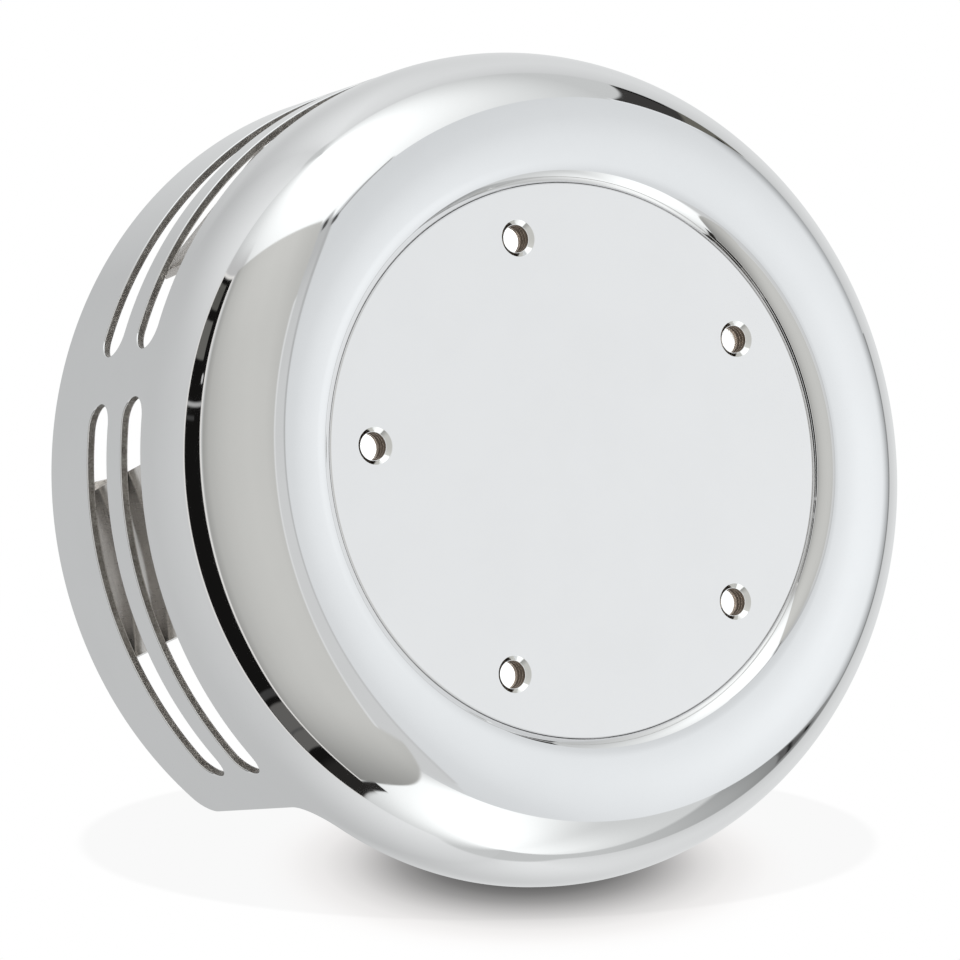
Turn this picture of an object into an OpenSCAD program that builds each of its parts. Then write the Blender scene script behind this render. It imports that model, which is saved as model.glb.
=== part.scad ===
// Round air cleaner for a big V-twin motorcycle engine.
// A spun steel cover with two rows of louvre slots goes over a short pleated filter on a
// backing plate. The cover's recessed face has five tapped holes for a decorative disc.
// Frame: the face points to -Y, +Z is up, and the origin is the centre of the intake
// mounting face, which lies in the plane of the cover's rear rim. Parts are drawn along
// a local axis z, the distance in front of that face, and front() turns z to -Y.

/* [Cover] */
// Outside diameter of the cover
cover_d = 203.2; // [198:0.2:210]
// Depth of the cover from the rear rim to the highest ring of its face
cover_depth = 84.4; // [84:0.1:85]
// Thickness of the cover's sheet
sheet_t = 2.0; // [1.6:0.1:2.2]
// Radius of the rounded shoulder between skirt and face
shoulder_r = 27.2; // [26:0.2:28]
// Radius of the turned-in lip around the face opening
lip_r = 6.0; // [5:0.2:6.4]
// Angle of the skirt that is left out at the bottom
cutaway_angle = 105.3; // [90:0.1:108]
// Depth of the skirt that is left out
cutaway_depth = 54.9; // [52:0.1:56]
// Radius of the inner corners of the cut-away
cutaway_fillet = 9.0; // [4:0.5:10]
// Radius of the outer corners of the cut-away
cutaway_corner = 5.5; // [3:0.5:7]

/* [Slots] */
// Slots in each row
slots_per_row = 4; // [2:2:4]
// Angle of one slot from tip to tip
slot_angle = 55.1; // [48:0.1:56]
// Angle from one slot's middle to the next one's
slot_pitch = 61.8; // [60:0.1:63]
// Width of a slot
slot_w = 11.0; // [8:0.5:12]
// Distance of the rear row from the rear rim
rear_row_z = 26.8; // [25:0.1:28]
// Distance of the front row from the rear rim
front_row_z = 45.9; // [44:0.1:47]

/* [Face] */
// Diameter of the recessed face plate
face_d = 132.8; // [130:0.2:134]
// Depth of the face plate below the highest ring
face_recess = 3.7; // [3.4:0.1:4.2]
// Thickness of the face plate
face_t = 6.0; // [5:0.5:7]
// Number of tapped holes in the face
face_holes = 5; // [3:1:6]
// Diameter of the circle through the tapped holes
face_pcd = 109.4; // [100:0.1:112]
// Bore diameter of a tapped hole, for an M8 thread
face_bore_d = 6.7; // [6.4:0.1:7]
// Diameter of the countersink on a tapped hole
face_sink_d = 8.75; // [8:0.05:9.5]

/* [Brackets] */
// Angle between the brackets that carry the cover
bracket_pitch = 87.4; // [80:0.1:95]
// Width of a bracket
bracket_w = 41.2; // [36:0.2:44]
// Slant of a side bracket's edges
bracket_slant = 8; // [0:1:9]
// Angle from the top to the straps behind the upper slots
strap_place = 33.5; // [30:0.5:36]

/* [Filter] */
// Outside diameter of the filter's end cap
filter_d = 143.0; // [136:1:146]
// Height of the filter from seat to top of cap
filter_h = 51.0; // [46:1:52]
// Depth of the pleats
pleat_depth = 15.0; // [12:0.5:15]
// Number of pleats
pleats = 48; // [36:4:56]

/* [Backing plate] */
// Bore diameter of the intake
intake_d = 42.0; // [38:0.5:44]
// Thickness of the backing plate
plate_t = 4.0; // [3.5:0.5:5]
// Distance from the mounting face to the back of the plate
plate_standoff = 8.0; // [7:0.5:9]
// Diameter of the circle through the three intake screws
intake_pcd = 63.0; // [61:0.5:64]
// Diameter of the circle through posts and breather bolts
post_pcd = 88.0; // [87.5:0.1:88.2]

/* [Hidden] */
$fn = 96;

// Amount by which a cutter runs past the surface it cuts
over = 1;
// Step that keeps a flat and a round cutter from only touching where they meet
hair = 0.02;
hair_angle = 0.02;
cover_r = cover_d / 2;
skirt_in_r = cover_r - sheet_t;

// Half section: the shoulder arc runs over the crown and into the tighter arc of the lip
shoulder_x = cover_r - shoulder_r;
shoulder_z = cover_depth - shoulder_r;
open_r = face_d / 2 + 0.3;
lip_x = open_r + lip_r - 0.3;
crown_tilt = -asin((shoulder_x - lip_x) / (shoulder_r - lip_r));
lip_z = shoulder_z + (shoulder_r - lip_r) * cos(crown_tilt);
shoulder_steps = 30;
lip_steps = 12;

// Face plate levels
face_z = cover_depth - face_recess;
face_back_z = face_z - face_t;
flange_t = 2.7;
flange_z = face_back_z + flange_t;
flange_r = face_d / 2 + 5.6;

// Backing plate, bracket foot and clinch nut levels
plate_z = plate_standoff;
seat_z = plate_z + plate_t;
foot_z = seat_z + sheet_t;
leg_r = 97.3 / 101.6 * cover_r;
leg_top_z = 55.5;
strap_low_z = 36;
ear_r = 85.5;
ear_w = 22;
ear_tip_r = 94;
plate_r = 73;
nut_h = 5;
nut_r = 5.2;
nut_spigot_r = 4;
bracket_angles = [90 - bracket_pitch, 90, 90 + bracket_pitch];

// Metric screws: radius of the thread, of the plain shank, of the clear hole and of the
// bore that the thread goes into
m6_r = 2.9;
m6_shank_r = 3.1;
m6_clear_r = 3.4;
m6_nut_r = 3.0;
m5_r = 2.4;
m5_clear_r = 2.8;
m5_post_r = 2.5;
washer_t = 1.2;

// Intake parts
gasket_t = 1.5;
gasket_r = intake_pcd / 2 + 5;
boss_r = intake_pcd / 2 + 7.5;
horn_flange_t = 3;
horn_flange_r = boss_r - 1.5;
horn_flare_r = 12;
horn_z = seat_z + 6;
horn_wall = 2;
screw_tail = 12;
// Thread relief between a shank and the thread that stands behind the mounting face
relief_l = 1;
relief_depth = 0.5;
breather_angles = [30, 150];
breather_boss_r = 10;
breather_r = 5;
breather_clear_r = 5.3;
breather_bore_r = 2.5;
breather_tail = 16;
breather_head_h = 5.5;
breather_head_af = 12;
breather_seal_r = 7;
rim_h = 2.5;
post_r = 4;
post_angles = [90, 210, 330];
post_top_z = 54.5;

// Filter levels and radii
seal_h = 6;
seal_r = filter_d / 2;
cap_top_z = seat_z + filter_h;
cap_t = 7;
cap_z = cap_top_z - cap_t;
cap_plate_t = 1.5;
mesh_t = 0.8;
outer_mesh_r = seal_r - 1;
inner_mesh_r = outer_mesh_r - pleat_depth - 3.6;
media_z = seat_z + seal_h;
media_h = cap_z - media_z;
media_t = 1.1;

module front() rotate([90, 0, 0]) children();

module ring(r_out, r_in, z, h) {
    translate([0, 0, z]) difference() {
        cylinder(r = r_out, h = h);
        translate([0, 0, -over]) cylinder(r = r_in, h = h + 2 * over);
    }
}

module around(angles, r) {
    for (a = angles) rotate([0, 0, a]) translate([r, 0, 0]) children();
}

// Point on an arc of radius r about c, at an angle measured from straight ahead
function arc_point(c, r, a) = [c[0] + r * sin(a), c[1] + r * cos(a)];

// Points of an arc from angle a to angle b in n steps
function arc_points(c, r, a, b, n) = [for (k = [0 : n]) arc_point(c, r, a + (b - a) * k / n)];

// Filled half section bounded by the cover's outline moved inwards by t
module cover_outline(t) {
    rear = t > 0 ? -over : 0;
    shoulder = [shoulder_x, shoulder_z];
    lip = [lip_x, lip_z];
    lip_end = -asin((lip_x - open_r - t) / (lip_r - t));
    polygon(concat(
        [[open_r + t, rear], [cover_r - t, rear]],
        arc_points(shoulder, shoulder_r - t, 90, crown_tilt, shoulder_steps),
        arc_points(lip, lip_r - t, crown_tilt + hair_angle, lip_end, lip_steps)
    ));
}

module cover_section() {
    difference() {
        cover_outline(0);
        cover_outline(sheet_t);
        translate([open_r - over, -over]) square([sheet_t + over + 0.01, flange_z + over]);
    }
}

// Sector of the skirt between two angles and two distances from the rear rim
module skirt_sector(a0, a1, z0, z1) {
    rotate([0, 0, a0]) rotate_extrude(angle = a1 - a0)
        translate([skirt_in_r - 6, z0]) square([sheet_t + 12, z1 - z0]);
}

module skirt_drill(a, z, r) {
    rotate([0, 0, a]) translate([skirt_in_r - 6, 0, z]) rotate([0, 90, 0])
        cylinder(r = r, h = sheet_t + 12, $fn = 48);
}

module slot_cutter(mid, z) {
    r = slot_w / 2;
    end = slot_angle / 2 - asin(r / cover_r);
    skirt_sector(mid - end, mid + end, z - r + hair, z + r - hair);
    skirt_drill(mid - end, z, r);
    skirt_drill(mid + end, z, r);
}

// Missing sector of the skirt, with rounded inner corners
module cutaway() {
    half = cutaway_angle / 2;
    inset = asin(cutaway_fillet / cover_r) - hair_angle;
    skirt_sector(270 - half, 270 + half, -over, cutaway_depth - cutaway_fillet);
    skirt_sector(270 - half + inset, 270 + half - inset, -over, cutaway_depth - hair);
    for (side = [-1, 1])
        skirt_drill(270 + side * (half - inset), cutaway_depth - cutaway_fillet, cutaway_fillet);
}

// Square piece that leaves a rounded outer corner on one end of the skirt
module corner_cutter(side) {
    inset = asin(cutaway_corner / cover_r) - hair_angle;
    edge = 270 + side * cutaway_angle / 2;
    mid = edge + side * inset;
    difference() {
        skirt_sector(min(edge - side, mid), max(edge - side, mid), -over, cutaway_corner);
        skirt_drill(mid, cutaway_corner - hair, cutaway_corner);
    }
}

module cover_shell() {
    color([0.86, 0.87, 0.88]) front() difference() {
        rotate([0, 0, 270]) rotate_extrude() cover_section();
        for (k = [0 : slots_per_row - 1], z = [rear_row_z, front_row_z])
            slot_cutter(90 + (k - (slots_per_row - 1) / 2) * slot_pitch, z);
        cutaway();
        for (side = [-1, 1]) corner_cutter(side);
    }
}

module face_plate() {
    sink_h = (face_sink_d - face_bore_d) / 2;
    color([0.80, 0.81, 0.83]) front() difference() {
        union() {
            translate([0, 0, face_back_z]) cylinder(r = face_d / 2, h = face_t);
            translate([0, 0, face_back_z]) cylinder(r = flange_r, h = flange_t);
        }
        around([for (k = [0 : face_holes - 1]) 90 + k * 360 / face_holes], face_pcd / 2) {
            translate([0, 0, face_back_z - over]) cylinder(d = face_bore_d, h = face_t + 2 * over);
            translate([0, 0, face_z - sink_h])
                cylinder(d1 = face_bore_d, d2 = face_sink_d + 0.02, h = sink_h + 0.01);
        }
    }
}

// Flat strap behind the slots, trimmed to the inside of the skirt
module strap(z0, z1, slant) {
    half = bracket_w / 2;
    lean = tan(slant) * (z1 - z0) / 2;
    intersection() {
        translate([leg_r - sheet_t, 0, 0]) rotate([90, 0, 90]) linear_extrude(sheet_t)
            polygon([[-half + lean, z0], [half + lean, z0], [half - lean, z1], [-half - lean, z1]]);
        cylinder(r = skirt_in_r, h = cover_depth);
    }
}

module cover_brackets() {
    foot_in_r = ear_r - 9;
    color([0.62, 0.60, 0.57]) front() for (k = [-1 : 1]) {
        rotate([0, 0, 90 + k * bracket_pitch]) difference() {
            union() {
                strap(seat_z, leg_top_z, k * bracket_slant);
                translate([foot_in_r, -bracket_w / 2, seat_z])
                    cube([leg_r - sheet_t - foot_in_r, bracket_w, sheet_t]);
            }
            translate([ear_r, 0, seat_z - over]) cylinder(r = nut_spigot_r, h = sheet_t + 2 * over);
        }
    }
}

module slot_straps() {
    color([0.62, 0.60, 0.57]) front() for (side = [-1, 1])
        rotate([0, 0, 90 + side * strap_place]) strap(strap_low_z, leg_top_z, side * bracket_slant);
}

module clinch_nuts() {
    color([0.78, 0.76, 0.66]) front() around(bracket_angles, ear_r) difference() {
        union() {
            translate([0, 0, foot_z]) cylinder(r = nut_r, h = nut_h);
            translate([0, 0, seat_z]) cylinder(r = nut_spigot_r, h = sheet_t + over);
        }
        translate([0, 0, seat_z - over]) cylinder(r = m6_nut_r, h = sheet_t + nut_h + 2 * over);
    }
}

// Thread of radius r that stands behind the mounting face, with a relief next to its shank
module tail(r, l) {
    translate([0, 0, -l]) cylinder(r = r, h = l - relief_l);
    translate([0, 0, -relief_l - over]) cylinder(r = r - relief_depth, h = relief_l + 2 * over);
}

// Socket-head screw with its head's underside at z and its shank running along +z
module socket_screw(shank_r, shank_l, head_r, head_h, key_af) {
    difference() {
        union() {
            cylinder(r = shank_r, h = shank_l);
            translate([0, 0, -head_h]) cylinder(r = head_r, h = head_h);
        }
        translate([0, 0, -head_h - over])
            cylinder(d = key_af / cos(30), h = head_h * 0.6 + over, $fn = 6);
    }
}

module cover_screws() {
    color([0.80, 0.81, 0.83]) front() around(bracket_angles, ear_r)
        translate([0, 0, plate_z - washer_t])
            socket_screw(m6_r, washer_t + plate_t + sheet_t + nut_h, 5, 4.2, 4);
}

module cover_washers() {
    color([0.74, 0.75, 0.77]) front() around(bracket_angles, ear_r)
        ring(6.2, m6_clear_r, plate_z - washer_t, washer_t);
}

module backing_plate() {
    color([0.55, 0.56, 0.58]) front() difference() {
        union() {
            translate([0, 0, plate_z]) cylinder(r = plate_r, h = plate_t);
            for (a = bracket_angles) rotate([0, 0, a]) {
                translate([plate_r - 12, -ear_w / 2, plate_z])
                    cube([ear_tip_r - ear_w / 2 - plate_r + 12, ear_w, plate_t]);
                translate([ear_tip_r - ear_w / 2, 0, plate_z]) cylinder(d = ear_w, h = plate_t);
            }
            translate([0, 0, gasket_t]) cylinder(r = boss_r, h = plate_z);
            around(breather_angles, post_pcd / 2)
                translate([0, 0, gasket_t]) cylinder(r = breather_boss_r, h = plate_z);
            // Low rim that centres the filter's seal, open where a breather bolt's head stands
            difference() {
                ring(inner_mesh_r - 1.6, inner_mesh_r - 3.6, seat_z - over, over + rim_h);
                around(breather_angles, post_pcd / 2)
                    translate([0, 0, seat_z]) cylinder(d = breather_head_af + 4, h = rim_h + over);
            }
        }
        translate([0, 0, -over]) cylinder(d = intake_d, h = seat_z + 2 * over);
        around(post_angles, intake_pcd / 2)
            translate([0, 0, -over]) cylinder(r = m6_clear_r, h = seat_z + 2 * over);
        around(post_angles, post_pcd / 2)
            translate([0, 0, plate_z - over]) cylinder(r = m5_r + 0.1, h = plate_t + 2 * over);
        around(breather_angles, post_pcd / 2)
            translate([0, 0, -over]) cylinder(r = breather_clear_r, h = seat_z + 2 * over);
        around(bracket_angles, ear_r)
            translate([0, 0, plate_z - over]) cylinder(r = m6_clear_r, h = plate_t + 2 * over);
    }
}

module intake_gasket() {
    color([0.20, 0.20, 0.20]) front() difference() {
        ring(gasket_r, intake_d / 2, 0, gasket_t);
        around(post_angles, intake_pcd / 2)
            translate([0, 0, -over]) cylinder(r = m6_clear_r, h = gasket_t + 2 * over);
    }
}

// Flared inlet whose flange is clamped by the intake screws
module velocity_ring() {
    bore_r = intake_d / 2;
    color([0.72, 0.73, 0.75]) front() difference() {
        rotate_extrude() {
            translate([bore_r, seat_z]) square([horn_flange_r - bore_r, horn_flange_t]);
            translate([bore_r, seat_z]) square([horn_wall, horn_z - seat_z]);
            intersection() {
                difference() {
                    translate([bore_r + horn_flare_r, horn_z]) circle(r = horn_flare_r);
                    translate([bore_r + horn_flare_r, horn_z]) circle(r = horn_flare_r - horn_wall);
                }
                translate([bore_r, horn_z]) square(horn_flare_r);
            }
        }
        around(post_angles, intake_pcd / 2)
            translate([0, 0, seat_z - over]) cylinder(r = m6_clear_r, h = horn_flange_t + 2 * over);
    }
}

// Screws through flange, plate and gasket into the throttle body
module plate_screws() {
    head_z = seat_z + horn_flange_t;
    color([0.25, 0.25, 0.26]) front() around(post_angles, intake_pcd / 2) {
        translate([0, 0, head_z]) mirror([0, 0, 1]) socket_screw(m6_shank_r, head_z, 4.6, 4, 4);
        tail(m6_r, screw_tail);
    }
}

// Hollow hexagon bolts that hold the plate and pass the crankcase vapour
module breather_bolts() {
    color([0.76, 0.75, 0.70]) front() around(breather_angles, post_pcd / 2) difference() {
        union() {
            translate([0, 0, seat_z]) rotate([0, 0, 30])
                cylinder(d = breather_head_af / cos(30), h = breather_head_h, $fn = 6);
            cylinder(r = breather_r, h = seat_z + over);
            tail(breather_r, breather_tail);
        }
        translate([0, 0, -breather_tail - over])
            cylinder(r = breather_bore_r, h = seat_z + breather_tail + breather_head_h + 2 * over);
    }
}

// Sealing rings in front of the breather ports, square in section
module breather_orings() {
    color([0.15, 0.15, 0.15]) front() around(breather_angles, post_pcd / 2)
        ring(breather_seal_r, breather_clear_r, 0, gasket_t);
}

module cap_posts() {
    thread_l = 16;
    color([0.80, 0.80, 0.78]) front() around(post_angles, post_pcd / 2) difference() {
        union() {
            translate([0, 0, seat_z]) cylinder(r = post_r, h = post_top_z - seat_z);
            translate([0, 0, plate_z]) cylinder(r = m5_r, h = plate_t + over);
        }
        translate([0, 0, post_top_z - thread_l]) cylinder(r = m5_post_r, h = thread_l + over);
    }
}

module filter_base_seal() {
    color([0.16, 0.17, 0.20]) front() ring(seal_r, inner_mesh_r - mesh_t - 0.6, seat_z, seal_h);
}

// Point number k of the zigzag between the two mesh tubes
function pleat_point(k, grow) =
    let (mid = (inner_mesh_r + outer_mesh_r) / 2)
    let (side = k % 2 == 0 ? 1 : -1)
    let (r = mid + side * pleat_depth / 2 + grow)
    [r * cos(k * 180 / pleats), r * sin(k * 180 / pleats)];

module filter_media() {
    color([0.62, 0.20, 0.18]) front() translate([0, 0, media_z]) linear_extrude(media_h)
        difference() {
            polygon([for (k = [0 : 2 * pleats - 1]) pleat_point(k, media_t)]);
            polygon([for (k = [0 : 2 * pleats - 1]) pleat_point(k, -media_t)]);
        }
}

module filter_inner_mesh() {
    color([0.60, 0.61, 0.62]) front()
        ring(inner_mesh_r + mesh_t / 2, inner_mesh_r - mesh_t / 2, media_z, media_h);
}

module filter_outer_mesh() {
    color([0.60, 0.61, 0.62]) front()
        ring(outer_mesh_r + mesh_t / 2, outer_mesh_r - mesh_t / 2, media_z, media_h);
}

module filter_cap_plate() {
    color([0.66, 0.67, 0.69]) front() difference() {
        translate([0, 0, cap_z - cap_plate_t])
            cylinder(r = inner_mesh_r - mesh_t - 0.6, h = cap_plate_t);
        around(post_angles, post_pcd / 2)
            translate([0, 0, cap_z - cap_plate_t - over])
                cylinder(r = m5_clear_r, h = cap_plate_t + 2 * over);
    }
}

module filter_end_cap() {
    bead_r = 3;
    color([0.93, 0.93, 0.91]) front() difference() {
        rotate_extrude() {
            translate([0, cap_z]) square([seal_r, cap_t - bead_r]);
            translate([0, cap_z]) square([seal_r - bead_r, cap_t]);
            translate([seal_r - bead_r, cap_top_z - bead_r]) circle(r = bead_r);
        }
        around(post_angles, post_pcd / 2)
            translate([0, 0, cap_z - over]) cylinder(r = m5_clear_r, h = cap_t + 2 * over);
    }
}

module cap_washers() {
    color([0.74, 0.75, 0.77]) front() around(post_angles, post_pcd / 2)
        ring(6.5, m5_clear_r, cap_top_z, washer_t);
}

module cap_screws() {
    head_z = cap_top_z + washer_t;
    color([0.80, 0.81, 0.83]) front() around(post_angles, post_pcd / 2)
        translate([0, 0, head_z]) mirror([0, 0, 1])
            socket_screw(m5_r, head_z - post_top_z + 12, 4.6, 3, 3);
}

cover_shell();
face_plate();
cover_brackets();
slot_straps();
clinch_nuts();
cover_screws();
cover_washers();
backing_plate();
intake_gasket();
velocity_ring();
plate_screws();
breather_bolts();
breather_orings();
cap_posts();
filter_base_seal();
filter_media();
filter_inner_mesh();
filter_outer_mesh();
filter_cap_plate();
filter_end_cap();
cap_washers();
cap_screws();
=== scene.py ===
"""Looks of a round chrome air cleaner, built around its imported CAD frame.

The cleaner's axis is the row's Y axis. Shapes are drawn in millimetres with cylinder
coordinates: radius, angle about the axis (0 at +X, 90 degrees at +Z) and height in front of
the mounting face, which is -Y. place() turns them into row-frame metres.
"""

import math

import bpy
import numpy as np
from mathutils import Matrix, Vector
from mathutils.geometry import delaunay_2d_cdt


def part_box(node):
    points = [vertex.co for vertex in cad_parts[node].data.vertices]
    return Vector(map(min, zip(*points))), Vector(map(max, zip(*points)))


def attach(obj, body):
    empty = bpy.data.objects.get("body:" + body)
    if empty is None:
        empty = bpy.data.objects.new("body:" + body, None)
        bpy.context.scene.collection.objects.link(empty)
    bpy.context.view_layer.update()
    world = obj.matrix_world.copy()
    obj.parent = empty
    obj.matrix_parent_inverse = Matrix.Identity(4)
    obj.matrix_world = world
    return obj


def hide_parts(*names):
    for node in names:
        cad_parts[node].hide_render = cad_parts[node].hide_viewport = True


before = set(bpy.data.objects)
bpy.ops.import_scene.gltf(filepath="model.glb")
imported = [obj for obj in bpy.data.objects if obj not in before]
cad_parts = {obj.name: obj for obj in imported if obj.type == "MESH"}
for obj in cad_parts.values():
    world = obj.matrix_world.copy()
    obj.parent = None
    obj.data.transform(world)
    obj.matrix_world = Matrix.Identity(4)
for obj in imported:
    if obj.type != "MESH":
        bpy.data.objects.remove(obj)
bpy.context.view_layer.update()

MM = 0.001
FULL_TURN = 360


# ---------------------------------------------------------------- sizes from the frame

def node_size(node):
    """Outer radius, lowest height and highest height of a round CAD node, in mm."""
    low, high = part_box(node)
    radius = max(high.x, high.z) / MM
    return radius, -high.y / MM, -low.y / MM


COVER_R, _, COVER_DEPTH = node_size("cover_shell")
FLANGE_R, FACE_BACK, FACE_TOP = node_size("face_plate")

# Cover: sheet, shoulder, lip and cut-away, as in the CAD source
SHEET = 2.0
SHOULDER_R = 27.2
LIP_R = 6.0
FACE_R = 66.4
FACE_GAP = 0.3
FLANGE_T = 2.7
CUTAWAY_HALF = 52.65
CUTAWAY_DEPTH = 54.9
CUTAWAY_FILLET = 9.0
CUTAWAY_CORNER = 5.5
SLOT_PITCH = 61.8
SLOT_SPAN = 55.1
SLOT_R = 5.5
SLOT_ROWS = (26.8, 45.9)
SKIRT_TOP = 57.0

# Face: rounded edge, clearance in the lip, and five countersunk and tapped holes
FACE_ROUNDING = 0.45
FACE_CLEARANCE = 0.03
HOLE_CIRCLE_R = 54.7
HOLE_ANGLES = [90 + 72 * k for k in range(5)]
HOLE_R = 3.35
SINK_R = 4.375
SINK_ROUNDING = 0.15
THREAD_PITCH = 1.25
THREAD_DEPTH = 0.55

# Radius of the rounding on cut sheet edges, and spacing of points inside skirt and discs
EDGE = 0.35
SKIRT_GRID = 3.5
DISC_GRID = 6.0

# Angles round small turned pieces, large ones and hexagons
TURN = np.linspace(0, 360, 64, endpoint=False)
FINE_TURN = np.linspace(0, 360, 240, endpoint=False)
HEX_TURN = np.linspace(0, 360, 72, endpoint=False)

# Half section of the cover: the shoulder arc runs over the crown into the lip arc
OPEN_R = FACE_R + FACE_GAP
shoulder_centre = (COVER_R - SHOULDER_R, COVER_DEPTH - SHOULDER_R)
lip_x = OPEN_R + LIP_R - FACE_GAP
crown_tilt = -math.degrees(math.asin((shoulder_centre[0] - lip_x) / (SHOULDER_R - LIP_R)))
lip_z = shoulder_centre[1] + (SHOULDER_R - LIP_R) * math.cos(math.radians(crown_tilt))
lip_centre = (lip_x, lip_z)


# ---------------------------------------------------------------- mesh building

def place(radius, angle, height):
    """Row-frame points in mm for cylinder coordinates; angle in degrees."""
    radius, angle, height = np.broadcast_arrays(radius, np.radians(angle), height)
    return np.stack([radius * np.cos(angle), -height, radius * np.sin(angle)], axis=-1)


def direct(out, angle, ahead, around=0.0):
    """Row-frame vectors from their radial, forward and tangential parts."""
    out, angle, ahead, around = np.broadcast_arrays(out, np.radians(angle), ahead, around)
    x = out * np.cos(angle) - around * np.sin(angle)
    z = out * np.sin(angle) + around * np.cos(angle)
    return np.stack([x, -ahead, z], axis=-1)


class Skin:
    """A mesh under construction, in mm, with a normal for every face corner."""

    def __init__(self):
        self.points, self.normals, self.faces, self.slots = [], [], [], []
        self.count = 0

    def add(self, points, normals, faces, slot=0):
        points = np.asarray(points, float).reshape(-1, 3)
        normals = np.asarray(normals, float).reshape(-1, 3)
        faces = np.asarray(faces)
        corners = points[faces]
        across = np.cross(corners[:, 1] - corners[:, 0], corners[:, 2] - corners[:, 0])
        backward = np.einsum("ij,ij->i", across, normals[faces].sum(axis=1)) < 0
        faces[backward] = faces[backward][:, ::-1]
        self.points.append(points)
        self.normals.append(normals)
        self.faces += (faces + self.count).tolist()
        self.slots += [slot] * len(faces)
        self.count += len(points)

    def grid(self, points, normals, closed=True, slot=0):
        """Quads between rows of points; closed joins the last column to the first."""
        rows, columns = points.shape[:2]
        index = np.arange(rows * columns).reshape(rows, columns)
        right = np.roll(index, -1, axis=1)
        if not closed:
            index, right = index[:, :-1], right[:, :-1]
        quads = np.stack([index[:-1], right[:-1], right[1:], index[1:]], axis=-1).reshape(-1, 4)
        self.add(points, normals, quads, slot)

    def lathe(self, profile, angles, slot=0, centre=None):
        """Turned surface through profile rows (radius, height, normal out, normal ahead)."""
        profile = np.asarray(profile, float)
        radius, height, out, ahead = (profile[:, k, None] for k in range(4))
        angles = np.asarray(angles, float)[None, :]
        points = place(radius, angles, height)
        if centre is not None:
            points = points + place(*centre, 0.0)
        self.grid(points, direct(out, angles, ahead), slot=slot)

    def build(self, name, body, materials, node=None):
        """Welded Blender object that rides on body and stands for the CAD node."""
        points = np.concatenate(self.points) * MM
        normals = np.concatenate(self.normals)
        _, first, welded = np.unique(
            np.round(points, 7), axis=0, return_index=True, return_inverse=True
        )
        welded = welded.reshape(-1)
        kept, corner_normals, slots = [], [], []
        for face, number in zip(self.faces, self.slots):
            ring = [int(welded[v]) for v in face]
            turn = [k for k in range(len(ring)) if ring[k] != ring[k - 1]]
            if len(turn) < 3:
                continue
            kept.append([ring[k] for k in turn])
            corner_normals += [normals[face[k]] for k in turn]
            slots.append(number)
        mesh = bpy.data.meshes.new(name)
        mesh.from_pydata(points[first].tolist(), [], kept)
        for material in materials:
            mesh.materials.append(material)
        mesh.polygons.foreach_set("material_index", slots)
        mesh.polygons.foreach_set("use_smooth", [True] * len(kept))
        corner_normals = np.array(corner_normals)
        corner_normals /= np.linalg.norm(corner_normals, axis=1)[:, None]
        mesh.normals_split_custom_set(corner_normals.tolist())
        mesh.update()
        piece = bpy.data.objects.new(name, mesh)
        bpy.context.scene.collection.objects.link(piece)
        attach(piece, body)
        if node:
            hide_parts(node)
        return piece


def arc(centre, radius, start, end, steps, facing=1):
    """Profile rows along an arc; angles in degrees from straight ahead towards outwards."""
    a = np.radians(np.linspace(start, end, steps + 1))
    out, ahead = np.sin(a), np.cos(a)
    rows = [centre[0] + radius * out, centre[1] + radius * ahead, facing * out, facing * ahead]
    return np.stack(rows, axis=-1)


def line(start, end, normal, steps=1):
    """Profile rows along a straight line with one normal."""
    t = np.linspace(0, 1, steps + 1)[:, None]
    points = np.array(start) * (1 - t) + np.array(end) * t
    return np.hstack([points, np.repeat([normal], steps + 1, axis=0)])


def filled(loops, inner, inside):
    """Triangles between closed outlines, through inner points, where inside(middles) is true."""
    edges, count = [], 0
    for loop in loops:
        edges += [(count + k, count + (k + 1) % len(loop)) for k in range(len(loop))]
        count += len(loop)
    flat = np.concatenate([*loops, inner])
    made = delaunay_2d_cdt([Vector(p) for p in flat], edges, [], 0, 1e-5)
    places = np.array([tuple(v) for v in made[0]])
    triangles = np.array([f for f in made[2] if len(f) == 3])
    return places, triangles[inside(places[triangles].mean(axis=1))]


def ridges(radius, top, low, pitch, depth, facing, flat=0.15, slant=0.3):
    """Rows of a thread from top down to low; facing is 1 outside and -1 in a bore.

    flat and slant are the shares of the pitch that each flat and each flank takes."""
    root = radius - facing * depth
    radii = [radius, radius, root, root, radius]
    drops = np.cumsum([0, flat, slant, flat, slant]) * pitch
    ways = [(facing, 0), (facing * 0.5, -0.866), (facing, 0), (facing * 0.5, 0.866)]
    rows = []
    for k in range(int((top - low) / pitch)):
        levels = top - k * pitch - drops
        for a, way in enumerate(ways):
            rows += [[radii[b], levels[b], *way] for b in (a, a + 1)]
        rows.append([radius, levels[-1], facing, 0])
    return np.array(rows + [[radius, low, facing, 0]])


# ---------------------------------------------------------------- node trees

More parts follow.
